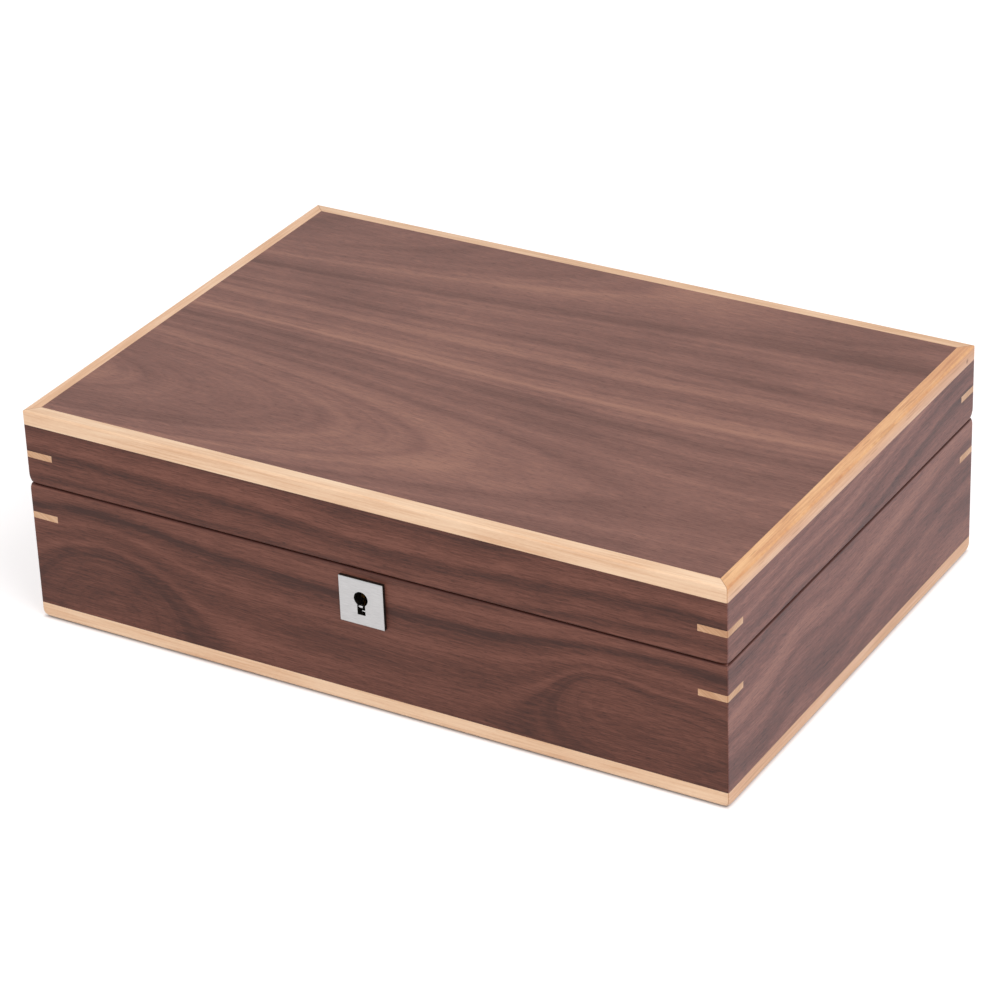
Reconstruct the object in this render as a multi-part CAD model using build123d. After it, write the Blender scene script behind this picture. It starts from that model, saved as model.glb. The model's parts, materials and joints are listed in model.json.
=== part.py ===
from build123d import *
import os
from math import cos, radians, sin, sqrt

# Lockable watch box. Millimetres, +Z up, +X to the right along the front, the front faces -Y.
# The origin is the middle of the underside, on the surface that the box stands on.

# Whole case
case_width = 330.0
case_depth = 230.0
case_height = 100.0
seam_height = 65.7
seam_gap = 0.3
corner_round = 0.8
rim_round = 0.9

# Boards and their edge strips
base_wall = 11.0
lid_lip_clearance = 0.5
top_panel_thickness = 8.0
bottom_panel_thickness = 6.0
lid_lipping_width = 5.8
lid_lipping_height = 6.6
lid_lipping_round = 1.0
base_lipping_width = 5.8
base_lipping_height = 7.0
base_lipping_round = 1.8
felt_thickness = 0.6
felt_inset = 2.0

# Keys across the mitred corners
key_thickness = 3.0
key_leg = 13.0
lid_key_above_rim = 13.75
base_key_below_rim = 14.95

# Lining and dividers
lining_thickness = 1.5
lining_lip = 2.5
lid_lining_clearance = 1.0
divider_thickness = 4.0
divider_height = 43.0
divider_clearance = 0.1
cell_columns = 5

# Watch cushions
cushion_side_gap = 1.5
cushion_end_gap = 6.0
cushion_height = 45.0
cushion_corner = 11.0
cushion_crown = 2.5
cushion_bulge = 1.2
cushion_draw = 5.0
CUSHION_STATIONS = (-1, -0.7, 0, 0.7, 1)

# Padded panel under the lid
pad_edge = 2.5
pad_crown = 2.0
pad_end_crown = 0.25
PAD_STATIONS = (-1, -0.5, 0, 0.5, 1)
pad_clearance = 0.6

# Stop hinges
hinge_length = 38.0
hinge_inset = 42.0
leaf_thickness = 2.0
leaf_land = 2.0
leaf_clearance = 0.1
knuckle_radius = 2.5
knuckle_clearance = 0.2
hinge_pin_radius = 1.2
hinge_pin_head = 0.6
fixed_pin_fit = 0.02
turning_pin_fit = 0.05
opening_angle = 95.0
stop_clearance = 0.05
leaf_screw_front_edge = 1.3
leaf_screw_back_edge = 1.9

# Plate round the keyhole
plate_size = 21.0
plate_thickness = 2.0
plate_edge = 0.3
peg_radius = 1.0
peg_inset = 2.5
peg_end_wood = 1.3
keyhole_radius = 3.3
keyhole_below_rim = 12.55
keyhole_above_plate_middle = 1.8
keyhole_slot = 3.8
keyhole_drop = 7.4
wood_keyhole_clearance = 0.4

# Lock case
lock_back_thickness = 1.2
lock_top_thickness = 1.5
lock_cap_wall = 1.0
lock_end_flange = 5.0
lock_bottom_flange = 2.5
lock_fit = 0.1
key_room = 1.55
drill_pin_radius = 1.0
drill_pin_length = 4.2
drill_pin_seat = 0.8
screw_land = 1.5

# Bolt, its spring and the loops that it catches
bolt_bar_height = 2.5
bolt_bar_drop = 10.0
bolt_bearing = 3.5
bolt_play = 0.3
bolt_end_clearance = 0.55
bolt_travel = 4.5
prong_height = 1.8
prong_width = 1.8
post_width = 2.5
talon_width = 5.0
talon_depth = 0.8
spring_thickness = 0.4
spring_width = 3.6
loop_spacing = 20.0
loop_thickness = 2.0
loop_side = 0.8
loop_foot = 1.0
loop_foot_clearance = 0.4
loop_clearance = 0.5
eye_clearance = 0.5
link_thickness = 1.5

# Screws
wood_screw_shank = 1.0
wood_screw_head = 1.9
wood_screw_sink = 1.1
screw_tip_length = 2.0
screw_tip_radius = 0.2
screw_slot_length = 5.0
screw_slot_width = 0.5
screw_slot_depth = 0.5
screw_clearance = 0.03
hinge_screw_length = 9.0
lock_screw_length = 8.0
lock_back_screw_length = 6.0
link_screw_length = 9.0

half_width = case_width / 2
half_depth = case_depth / 2
base_rim = seam_height - seam_gap / 2
lid_rim = seam_height + seam_gap / 2
lid_wall = base_wall - lid_lip_clearance
panel_underside = case_height - top_panel_thickness
case_underside = felt_thickness
floor_level = case_underside + bottom_panel_thickness
SIDES = ("front", "right", "back", "left")
CORNERS = ((-1, -1), (1, -1), (1, 1), (-1, 1))
PAST = 1.0


def block(x, y, z):
    """A box from its low and high limits along each axis."""
    middle = Pos((x[0] + x[1]) / 2, (y[0] + y[1]) / 2, (z[0] + z[1]) / 2)
    return middle * Box(x[1] - x[0], y[1] - y[0], z[1] - z[0])


def centred(width, depth, z):
    """A box centred on the case, with its low and high levels."""
    return block((-width / 2, width / 2), (-depth / 2, depth / 2), z)


def inside_walls(wall, z):
    """The space inside walls of the given thickness, between two levels."""
    return centred(case_width - 2 * wall, case_depth - 2 * wall, z)


def rod(radius, start, length, axis):
    """A cylinder from a start point along an axis."""
    plane = Plane(origin=start, z_dir=axis)
    return plane * Cylinder(radius, length, align=(Align.CENTER, Align.CENTER, Align.MIN))


def mitre_region(side):
    """The part of the plan that a mitred strip on this side may fill, as tall as the case."""
    reach = base_wall + lid_lipping_width + PAST
    along, across = (half_width, half_depth) if side in ("front", "back") else (half_depth, half_width)
    outline = Polyline(
        (-along - PAST, -across - PAST),
        (along + PAST, -across - PAST),
        (along - reach, -across + reach),
        (-along + reach, -across + reach),
        close=True,
    )
    region = extrude(make_face(outline), amount=case_height + 2 * PAST)
    return Pos(0, 0, -PAST) * Rot(0, 0, 90 * SIDES.index(side)) * region


def case_envelope(low, high, low_round, high_round):
    """The outside of the base or the lid, with its level edges and its upright corners rounded."""
    body = centred(case_width, case_depth, (low, high))
    ends = body.faces().sort_by(Axis.Z)
    body = fillet(ends[-1].edges(), high_round)
    body = fillet(body.faces().sort_by(Axis.Z)[0].edges(), low_round)
    plan = RectangleRounded(case_width, case_depth, corner_round)
    return body & Pos(0, 0, low - PAST) * extrude(plan, amount=high - low + 2 * PAST)


def corner_key_space(height):
    """The four triangular slots sawn across the mitres, centred at a height."""
    slots = []
    for x_side, y_side in CORNERS:
        corner_x, corner_y = x_side * half_width, y_side * half_depth
        reach = key_leg + PAST
        outline = Polyline(
            (corner_x + x_side * PAST, corner_y + y_side * PAST),
            (corner_x - x_side * reach, corner_y + y_side * PAST),
            (corner_x + x_side * PAST, corner_y - y_side * reach),
            close=True,
        )
        slot = extrude(make_face(outline), amount=key_thickness, dir=(0, 0, 1))
        slots.append(Pos(0, 0, height - key_thickness / 2) * slot)
    return slots


def cut_away(shape, tools):
    """The shape with every tool cut from it in turn."""
    for tool in tools:
        shape = shape - tool
    return shape


# Screws

def wood_screw(start, axis, length):
    """A countersunk slotted screw whose head lies level with its start point."""
    plane = Plane(origin=start, z_dir=axis)
    down = (Align.CENTER, Align.CENTER, Align.MIN)
    head = Cone(wood_screw_head, wood_screw_shank, wood_screw_sink, align=down)
    shank = Cylinder(wood_screw_shank, length - screw_tip_length, align=down)
    tip = Cone(wood_screw_shank, screw_tip_radius, screw_tip_length, align=down)
    slot = Box(screw_slot_length, screw_slot_width, screw_slot_depth, align=down)
    return plane * (head + shank + Pos(0, 0, length - screw_tip_length) * tip - slot)


def screw_space(start, axis, length):
    """The hole that a screw fills, with its clearance, open a little above the head."""
    plane = Plane(origin=start, z_dir=axis)
    down = (Align.CENTER, Align.CENTER, Align.MIN)
    head = Cone(
        wood_screw_head + screw_clearance,
        wood_screw_shank + screw_clearance,
        wood_screw_sink,
        align=down,
    )
    hole = Cylinder(wood_screw_shank + screw_clearance, length + screw_clearance, align=down)
    mouth = Pos(0, 0, -PAST) * Cylinder(wood_screw_head + screw_clearance, PAST, align=down)
    return plane * (head + hole + mouth)


# Hinges: the pin's axis runs along X just behind the back face, level with the seam

hinge_axis_y = half_depth + knuckle_radius + knuckle_clearance
hinge_centre_x = half_width - hinge_inset - hinge_length / 2
knuckle_length = (hinge_length - 2 * knuckle_clearance) / 3
leaf_front = half_depth - (base_wall - leaf_land)


def knuckle(centre_x, lower):
    """One knuckle and the strap that joins it to its leaf. Its squared heel stops the lid."""
    x = (centre_x - knuckle_length / 2, centre_x + knuckle_length / 2)
    barrel = rod(knuckle_radius, (x[0], hinge_axis_y, seam_height), knuckle_length, (1, 0, 0))
    lean = radians(opening_angle - 90)
    stop = knuckle_radius + knuckle_clearance - stop_clearance
    up = 1 if lower else -1
    heel_top = (stop - knuckle_radius * sin(lean)) / cos(lean)
    outline = Polyline(
        (hinge_axis_y, seam_height),
        (hinge_axis_y + knuckle_radius, seam_height),
        (hinge_axis_y + knuckle_radius, seam_height + up * heel_top),
        (hinge_axis_y, seam_height + up * stop / cos(lean)),
        close=True,
    )
    section = Plane(origin=(x[0], 0, 0), x_dir=(0, 1, 0), z_dir=(1, 0, 0)) * make_face(outline)
    heel = extrude(section, amount=knuckle_length, dir=(1, 0, 0))
    strap = block(x, (half_depth, hinge_axis_y), leaf_levels(lower))
    return barrel + heel + strap


def leaf_levels(lower):
    """The leaf's low and high faces, level with the rim that it is let into."""
    if lower:
        return (base_rim - leaf_thickness, base_rim)
    return (lid_rim, lid_rim + leaf_thickness)


def hinge_screw_points(centre_x):
    """The three screws of one leaf: two near its front edge and one between them, set back."""
    pitch = hinge_length / 3
    near = leaf_front + wood_screw_head + leaf_screw_front_edge
    far = half_depth - wood_screw_head - leaf_screw_back_edge
    return ((centre_x - pitch, near), (centre_x, far), (centre_x + pitch, near))


def hinge_screw_set(centre_x, lower, make):
    """The screws or the screw holes of one leaf."""
    level = base_rim if lower else lid_rim
    down = (0, 0, -1) if lower else (0, 0, 1)
    return [make((x, y, level), down, hinge_screw_length) for x, y in hinge_screw_points(centre_x)]


def hinge_leaf(centre_x, lower):
    """One leaf with its knuckles, its pin hole and its countersunk holes."""
    x = (centre_x - hinge_length / 2, centre_x + hinge_length / 2)
    leaf = block(x, (leaf_front, half_depth), leaf_levels(lower))
    pitch = knuckle_length + knuckle_clearance
    places = (centre_x - pitch, centre_x + pitch) if lower else (centre_x,)
    for place in places:
        leaf = leaf + knuckle(place, lower)
    fit = fixed_pin_fit if lower else turning_pin_fit
    bore_start = (x[0] - PAST, hinge_axis_y, seam_height)
    leaf = leaf - rod(hinge_pin_radius + fit, bore_start, hinge_length + 2 * PAST, (1, 0, 0))
    return cut_away(leaf, hinge_screw_set(centre_x, lower, screw_space))


def hinge_pin(centre_x):
    """The pin, with a rounded end standing out of each end of the hinge."""
    length = hinge_length + 2 * hinge_pin_head
    start = (centre_x - length / 2, hinge_axis_y, seam_height)
    pin = rod(hinge_pin_radius, start, length, (1, 0, 0))
    return fillet(pin.edges().filter_by(GeomType.CIRCLE), hinge_pin_head * 0.8)


def leaf_space(centre_x, lower):
    """The recess in the rim for one leaf and the holes for its screws."""
    low, high = leaf_levels(lower)
    x = (centre_x - hinge_length / 2 - leaf_clearance, centre_x + hinge_length / 2 + leaf_clearance)
    z = (low, high + PAST) if lower else (low - PAST, high)
    recess = block(x, (leaf_front - leaf_clearance, half_depth + PAST), z)
    return [recess] + hinge_screw_set(centre_x, lower, screw_space)


# Lock: it hangs from the top edge of the front wall, let in from the inside

eye_width = prong_width + 2 * eye_clearance
eye_height = prong_height + 2 * eye_clearance
loop_width = eye_width + 2 * loop_side
lock_works_depth = loop_width + 2 * loop_clearance
lock_back_face = -half_depth + base_wall
works_back = lock_back_face - lock_back_thickness
works_front = works_back - lock_works_depth
lock_front = works_front - lock_cap_wall
works_middle = (works_back + works_front) / 2
works_top = base_rim - lock_top_thickness
keyhole_height = base_rim - keyhole_below_rim
plate_height = keyhole_height - keyhole_above_plate_middle
cap_bottom = keyhole_height - keyhole_drop - key_room - lock_cap_wall
lock_bottom = cap_bottom - lock_bottom_flange

loop_places = (-loop_spacing / 2, loop_spacing / 2)
bar_low = base_rim - bolt_bar_drop
bar_high = bar_low + bolt_bar_height
loop_low = bar_high + loop_foot_clearance
prong_low = loop_low + loop_foot + eye_clearance
prong_tips = [place - loop_thickness / 2 - 2 * bolt_play for place in loop_places]
post_faces = [tip - bolt_travel + bolt_play / 2 for tip in prong_tips]
bolt_left_end = post_faces[0] - post_width
works_end = bolt_end_clearance - bolt_left_end
cap_end = works_end + lock_cap_wall
lock_end = cap_end + lock_end_flange
flange_middle = (cap_end + lock_end) / 2


def keyhole_space(low_y, high_y, grow):
    """The keyhole's outline, grown all round and run from front to back."""
    width = keyhole_slot / 2 + grow
    circle = Pos(0, keyhole_height) * Circle(keyhole_radius + grow)
    bottom = keyhole_height - keyhole_drop - grow
    slot = Polyline(
        (-width, keyhole_height),
        (width, keyhole_height),
        (width, bottom),
        (-width, bottom),
        close=True,
    )
    section = circle + make_face(slot)
    turned = Plane(origin=(0, low_y, 0), x_dir=(1, 0, 0), z_dir=(0, -1, 0)) * section
    return extrude(turned, amount=high_y - low_y, dir=(0, 1, 0))


def peg_points():
    """Where the plate's two pegs enter the wood."""
    offset = plate_size / 2 - peg_inset
    return ((-offset, plate_height + offset), (offset, plate_height - offset))


def peg_length():
    """How far the pegs go into the wood that is left in front of the lock."""
    return lock_front + half_depth - peg_end_wood


def escutcheon_plate():
    """The square plate round the keyhole, proud of the front, with two pegs behind it."""
    half = plate_size / 2
    face = block(
        (-half, half),
        (-half_depth - plate_thickness, -half_depth),
        (plate_height - half, plate_height + half),
    )
    face = chamfer(face.faces().sort_by(Axis.Y)[0].edges(), plate_edge)
    for x, z in peg_points():
        face = face + rod(peg_radius, (x, -half_depth, z), peg_length(), (0, 1, 0))
    return face - keyhole_space(-half_depth - plate_thickness - PAST, -half_depth + PAST, 0)


def escutcheon_space():
    """The peg holes and the keyhole through the wood in front of the lock."""
    depth = peg_length() + PAST + lock_fit
    holes = [
        rod(peg_radius + screw_clearance, (x, -half_depth - PAST, z), depth, (0, 1, 0))
        for x, z in peg_points()
    ]
    return holes + [keyhole_space(-half_depth - PAST, lock_front + PAST, wood_keyhole_clearance)]


def loop_slot(place):
    """The slot in the lock's top plate that one loop drops through."""
    half_x = loop_thickness / 2 + loop_clearance
    half_y = loop_width / 2 + loop_clearance
    return block(
        (place - half_x, place + half_x),
        (works_middle - half_y, works_middle + half_y),
        (works_top - PAST, base_rim + PAST),
    )


def lock_screw_places():
    """Each lock screw's start, direction and length: two down from the top, two from behind."""
    top = [
        ((side * flange_middle, works_middle, base_rim), (0, 0, -1), lock_screw_length)
        for side in (-1, 1)
    ]
    low = lock_bottom + wood_screw_head + screw_land
    back = [
        ((side * flange_middle, lock_back_face, low), (0, -1, 0), lock_back_screw_length)
        for side in (-1, 1)
    ]
    return top + back


def lock_back_plate():
    """The back plate and the slotted top plate, one bent piece."""
    ends = (-lock_end, lock_end)
    back = block(ends, (works_back, lock_back_face), (lock_bottom, base_rim))
    top = block(ends, (lock_front, lock_back_face), (works_top, base_rim))
    plate = cut_away(back + top, [loop_slot(place) for place in loop_places])
    seat_start = (0, works_back + drill_pin_seat, keyhole_height)
    pin_seat = rod(drill_pin_radius + fixed_pin_fit, seat_start, drill_pin_seat + PAST, (0, -1, 0))
    return cut_away(plate - pin_seat, [screw_space(*place) for place in lock_screw_places()])


def lock_cap():
    """The shallow box over the works, with the keyhole and two ledges that carry the bolt."""
    floor = cap_bottom + lock_cap_wall
    cap = block((-cap_end, cap_end), (lock_front, works_back), (cap_bottom, works_top))
    cap = cap - block((-works_end, works_end), (works_front, works_back + PAST), (floor, works_top + PAST))
    ledge = bolt_travel + bolt_bearing
    for x in ((-works_end, -works_end + ledge), (works_end - ledge, works_end)):
        cap = cap + block(x, (works_front, works_back), (floor, bar_low - bolt_play))
    return cap - keyhole_space(lock_front - PAST, works_front + PAST, 0)


def drill_pin():
    """The pin that a hollow key turns on, pressed into a seat in the back plate."""
    start = (0, works_back + drill_pin_seat, keyhole_height)
    pin = rod(drill_pin_radius, start, drill_pin_seat + drill_pin_length, (0, -1, 0))
    return fillet(pin.faces().sort_by(Axis.Y)[0].edges(), drill_pin_radius / 3)


def lock_bolt():
    """The sliding bolt: a bar with two hooked prongs and a notch for the key's bit."""
    half_y = lock_works_depth / 2 - bolt_play
    y = (works_middle - half_y, works_middle + half_y)
    thin = (works_middle - prong_width / 2, works_middle + prong_width / 2)
    right_end = works_end - bolt_travel - bolt_play
    bolt = block((bolt_left_end, right_end), y, (bar_low, bar_high))
    for tip, right in zip(prong_tips, post_faces):
        bolt = bolt + block((right - post_width, right), y, (bar_low, prong_low + prong_height))
        bolt = bolt + block((right - PAST, tip), thin, (prong_low, prong_low + prong_height))
    talon_x = (-(talon_width + bolt_travel) / 2, (talon_width - bolt_travel) / 2)
    talon = block(talon_x, (y[0] - PAST, y[1] + PAST), (bar_low - PAST, bar_low + talon_depth))
    return bolt - talon


def bolt_spring():
    """The bowed strip between the top plate and the bolt's bar."""
    left = prong_tips[0] + bolt_travel + bolt_play
    right = post_faces[1] - post_width - bolt_play
    middle_x = (left + right) / 2
    half = (right - left) / 2
    low = bar_high + bolt_play
    high = works_top
    outline = (
        ThreePointArc((middle_x - half, high), (middle_x, low), (middle_x + half, high))
        + Line((middle_x + half, high), (middle_x + half - spring_thickness, high))
        + ThreePointArc(
            (middle_x + half - spring_thickness, high),
            (middle_x, low + spring_thickness),
            (middle_x - half + spring_thickness, high),
        )
        + Line((middle_x - half + spring_thickness, high), (middle_x - half, high))
    )
    start_y = works_middle + spring_width / 2
    section = Plane(origin=(0, start_y, 0), x_dir=(1, 0, 0), z_dir=(0, -1, 0)) * make_face(outline)
    return extrude(section, amount=spring_width, dir=(0, -1, 0))


def lock_space():
    """The pocket in the front wall for the lock, and the holes for its screws."""
    ends = (-lock_end - lock_fit, lock_end + lock_fit)
    front = lock_front - lock_fit
    behind = lock_back_face + PAST
    back = block(ends, (works_back, behind), (lock_bottom - lock_fit, base_rim + PAST))
    top = block(ends, (front, behind), (works_top, base_rim + PAST))
    cap_ends = (-cap_end - lock_fit, cap_end + lock_fit)
    works = block(cap_ends, (front, behind), (cap_bottom - lock_fit, base_rim))
    return [back, top, works] + [screw_space(*place) for place in lock_screw_places()]


link_back = -half_depth + lid_wall


def link_screw_places():
    """The two screws that hold the link plate up in the lid's rim."""
    return [
        ((side * flange_middle, works_middle, lid_rim), (0, 0, 1), link_screw_length) for side in (-1, 1)
    ]


def link_plate():
    """The plate in the lid's rim with the two loops that the bolt passes through."""
    top = lid_rim + link_thickness
    plate = block((-lock_end, lock_end), (lock_front, link_back), (lid_rim, top))
    half_y = loop_width / 2
    for place in loop_places:
        x = (place - loop_thickness / 2, place + loop_thickness / 2)
        loop = block(x, (works_middle - half_y, works_middle + half_y), (loop_low, top))
        foot = loop.faces().sort_by(Axis.Z)[0].edges().filter_by(Axis.X)
        loop = fillet(foot, loop_width / 4)
        eye_middle = prong_low + prong_height / 2
        eye = block(
            (x[0] - PAST, x[1] + PAST),
            (works_middle - eye_width / 2, works_middle + eye_width / 2),
            (eye_middle - eye_height / 2, eye_middle + eye_height / 2),
        )
        plate = plate + (loop - eye)
    return cut_away(plate, [screw_space(*place) for place in link_screw_places()])


def link_space():
    """The recess in the lid's front rim for the link plate, and its screw holes."""
    recess = block(
        (-lock_end - lock_fit, lock_end + lock_fit),
        (lock_front - lock_fit, link_back + PAST),
        (lid_rim - PAST, lid_rim + link_thickness),
    )
    return [recess] + [screw_space(*place) for place in link_screw_places()]


# Base of the case

HINGES = (-hinge_centre_x, hinge_centre_x)


def base_pieces():
    """The walls, strips, keys, bottom panel and felt of the base."""
    pieces = {}
    envelope = case_envelope(case_underside, base_rim, base_lipping_round, rim_round)
    inner = inside_walls(base_wall, (floor_level, base_rim + PAST))
    panel_space = inside_walls(base_lipping_width, (case_underside - PAST, floor_level))
    strip_top = case_underside + base_lipping_height
    strip_space = inside_walls(0, (case_underside - PAST, strip_top)) - inside_walls(
        base_lipping_width, (case_underside - 2 * PAST, strip_top + PAST)
    )
    key_space = corner_key_space(base_rim - base_key_below_rim)
    walls = cut_away(envelope - inner - panel_space - strip_space, key_space)
    strips = envelope & strip_space
    cuts = {
        "front": lock_space() + escutcheon_space(),
        "back": [space for x in HINGES for space in leaf_space(x, True)],
    }
    for side in SIDES:
        region = mitre_region(side)
        pieces[f"base_{side}_wall"] = cut_away(walls & region, cuts.get(side, []))
        pieces[f"base_{side}_lipping"] = strips & region
    pieces["base_bottom_panel"] = envelope & panel_space
    pieces["base_corner_keys"] = [envelope & slot for slot in key_space]
    pieces["base_felt"] = inside_walls(felt_inset, (0, felt_thickness))
    return pieces


def lid_pieces():
    """The walls, strips, keys and top panel of the lid."""
    pieces = {}
    envelope = case_envelope(lid_rim, case_height, rim_round, lid_lipping_round)
    inner = inside_walls(lid_wall, (lid_rim - PAST, panel_underside))
    panel_space = inside_walls(lid_lipping_width, (panel_underside, case_height + PAST))
    strip_low = case_height - lid_lipping_height
    strip_space = inside_walls(0, (strip_low, case_height + PAST)) - inside_walls(
        lid_lipping_width, (strip_low - PAST, case_height + 2 * PAST)
    )
    key_space = corner_key_space(lid_rim + lid_key_above_rim)
    walls = cut_away(envelope - inner - panel_space - strip_space, key_space)
    strips = envelope & strip_space
    cuts = {
        "front": link_space(),
        "back": [space for x in HINGES for space in leaf_space(x, False)],
    }
    for side in SIDES:
        region = mitre_region(side)
        pieces[f"lid_{side}_wall"] = cut_away(walls & region, cuts.get(side, []))
        pieces[f"lid_{side}_lipping"] = strips & region
    pieces["lid_top_panel"] = envelope & panel_space
    pieces["lid_corner_keys"] = [envelope & slot for slot in key_space]
    return pieces


# Lining, dividers and cushions

lining_top = base_rim + lining_lip
room_x = half_width - base_wall - lining_thickness
room_y = half_depth - base_wall - lining_thickness
cushion_floor = floor_level + lining_thickness
divider_top = cushion_floor + divider_height
cell_width = (2 * room_x - (cell_columns - 1) * divider_thickness) / cell_columns
cell_depth = (2 * room_y - divider_thickness) / 2


def lined(wall, z):
    """Lining boards inside walls of a thickness: a full-length pair, and a pair between them."""
    half_x, half_y = half_width - wall, half_depth - wall
    inner_x, inner_y = half_x - lining_thickness, half_y - lining_thickness
    front = block((-half_x, half_x), (-half_y, -inner_y), z)
    back = block((-half_x, half_x), (inner_y, half_y), z)
    left = block((-half_x, -inner_x), (-inner_y, inner_y), z)
    right = block((inner_x, half_x), (-inner_y, inner_y), z)
    return front, back, left, right


def lining_pieces():
    """The lining of the base and of the lid."""
    front, back, left, right = lined(base_wall, (floor_level, lining_top))
    lid_low = lining_top + lid_lining_clearance
    lid_front, lid_back, lid_left, lid_right = lined(lid_wall, (lid_low, panel_underside))
    return {
        "base_lining_front": front,
        "base_lining_back": back,
        "base_lining_ends": [left, right],
        "base_lining_floor": centred(2 * room_x, 2 * room_y, (floor_level, cushion_floor)),
        "lid_lining_sides": [lid_front, lid_back],
        "lid_lining_ends": [lid_left, lid_right],
        "lid_pad": lid_pad(),
    }


def lid_pad():
    """The padded panel under the lid: flat where it is glued, crowned towards the watches."""
    margin = lid_wall + lining_thickness + pad_clearance
    half_x = half_width - margin
    half_y = half_depth - margin
    edge = panel_underside - pad_edge
    sections = []
    for share in PAD_STATIONS:
        lowest = edge - pad_end_crown - pad_crown * (1 - share * share)
        outline = (
            Line((-half_y, panel_underside), (half_y, panel_underside))
            + Line((half_y, panel_underside), (half_y, edge))
            + ThreePointArc((half_y, edge), (0, lowest), (-half_y, edge))
            + Line((-half_y, edge), (-half_y, panel_underside))
        )
        plane = Plane(origin=(share * half_x, 0, 0), x_dir=(0, 1, 0), z_dir=(1, 0, 0))
        sections.append(plane * make_face(outline))
    return loft(sections)


def column_x(index):
    """The middle of a column of cells."""
    return -room_x + cell_width / 2 + index * (cell_width + divider_thickness)


def divider_pieces():
    """The long divider and the cross dividers, each halved over the other."""
    half_joint = cushion_floor + divider_height / 2
    half = divider_thickness / 2
    long_divider = block((-room_x, room_x), (-half, half), (cushion_floor, divider_top))
    pieces = {}
    for index in range(cell_columns - 1):
        x = column_x(index) + cell_width / 2 + half
        slot = half + divider_clearance
        notch = block((x - slot, x + slot), (-half - PAST, half + PAST), (half_joint, divider_top + PAST))
        long_divider = long_divider - notch
        cross = block((x - half, x + half), (-room_y, room_y), (cushion_floor, divider_top))
        gap = block((x - half - PAST, x + half + PAST), (-slot, slot), (cushion_floor - PAST, half_joint))
        pieces[f"cross_divider_{index + 1}"] = cross - gap
    pieces["long_divider"] = long_divider
    return pieces


def cushion_section(half_y, low, high, corner, bulge, crown):
    """The outline of a cushion across its width: eight edges, flat only underneath."""
    bend = corner * (1 - sqrt(0.5))
    points = (
        ((-half_y + corner, low), None),
        ((half_y - corner, low), (half_y - bend, low + bend)),
        ((half_y, low + corner), (half_y + bulge, (low + high) / 2)),
        ((half_y, high - corner), (half_y - bend, high - bend)),
        ((half_y - corner, high), (0, high + crown)),
        ((-half_y + corner, high), (-half_y + bend, high - bend)),
        ((-half_y, high - corner), (-half_y - bulge, (low + high) / 2)),
        ((-half_y, low + corner), (-half_y + bend, low + bend)),
    )
    outline = Line(points[0][0], points[1][0])
    for index in range(1, len(points)):
        start, middle = points[index]
        end = points[(index + 1) % len(points)][0]
        outline = outline + ThreePointArc(start, middle, end)
    return make_face(outline)


def watch_cushion(column, row):
    """One loose cushion: crowned on top, drawn in towards the seams at its two ends."""
    half_x = cell_width / 2 - cushion_side_gap
    half_y = cell_depth / 2 - cushion_end_gap
    middle_y = (1 if row else -1) * (divider_thickness + cell_depth) / 2
    sections = []
    for share in CUSHION_STATIONS:
        draw = cushion_draw * abs(share) ** 3
        section = cushion_section(
            half_y - draw,
            cushion_floor,
            cushion_floor + cushion_height - draw,
            cushion_corner,
            cushion_bulge * (1 - 0.5 * abs(share)),
            cushion_crown * (1 - 0.5 * abs(share)),
        )
        plane = Plane(
            origin=(column_x(column) + share * half_x, middle_y, 0), x_dir=(0, 1, 0), z_dir=(1, 0, 0)
        )
        sections.append(plane * section)
    return loft(sections)


def cushion_pieces():
    """Ten cushions, numbered from the front left."""
    pieces = {}
    for row in range(2):
        for column in range(cell_columns):
            number = 1 + column + row * cell_columns
            pieces[f"watch_cushion_{number}"] = watch_cushion(column, row)
    return pieces


def hardware_pieces():
    """The hinges, the lock and their screws."""
    pieces = {}
    for name, x in zip(("left", "right"), HINGES):
        pieces[f"{name}_hinge_base_leaf"] = hinge_leaf(x, True)
        pieces[f"{name}_hinge_lid_leaf"] = hinge_leaf(x, False)
    pieces["hinge_pins"] = [hinge_pin(x) for x in HINGES]
    pieces["hinge_screws_base"] = [s for x in HINGES for s in hinge_screw_set(x, True, wood_screw)]
    pieces["hinge_screws_lid"] = [s for x in HINGES for s in hinge_screw_set(x, False, wood_screw)]
    pieces["escutcheon_plate"] = escutcheon_plate()
    pieces["lock_back_plate"] = lock_back_plate()
    pieces["lock_cap"] = lock_cap()
    pieces["drill_pin"] = drill_pin()
    pieces["lock_bolt"] = lock_bolt()
    pieces["bolt_spring"] = bolt_spring()
    pieces["lock_screws"] = [wood_screw(*place) for place in lock_screw_places()]
    pieces["link_plate"] = link_plate()
    pieces["link_screws"] = [wood_screw(*place) for place in link_screw_places()]
    return pieces


def write(pieces):
    """One STEP file for each named piece, or for each group of like pieces."""
    os.makedirs("parts", exist_ok=True)
    for name, shape in pieces.items():
        group = shape if isinstance(shape, list) else [shape]
        solids = [solid for item in group for solid in item.solids()]
        export_step(solids[0] if len(solids) == 1 else Compound(children=solids), f"parts/{name}.step")


write(base_pieces())
write(lid_pieces())
write(lining_pieces())
write(divider_pieces())
write(cushion_pieces())
write(hardware_pieces())
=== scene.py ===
import json
import math

import bmesh
import bpy
from mathutils import Matrix, Vector

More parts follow.
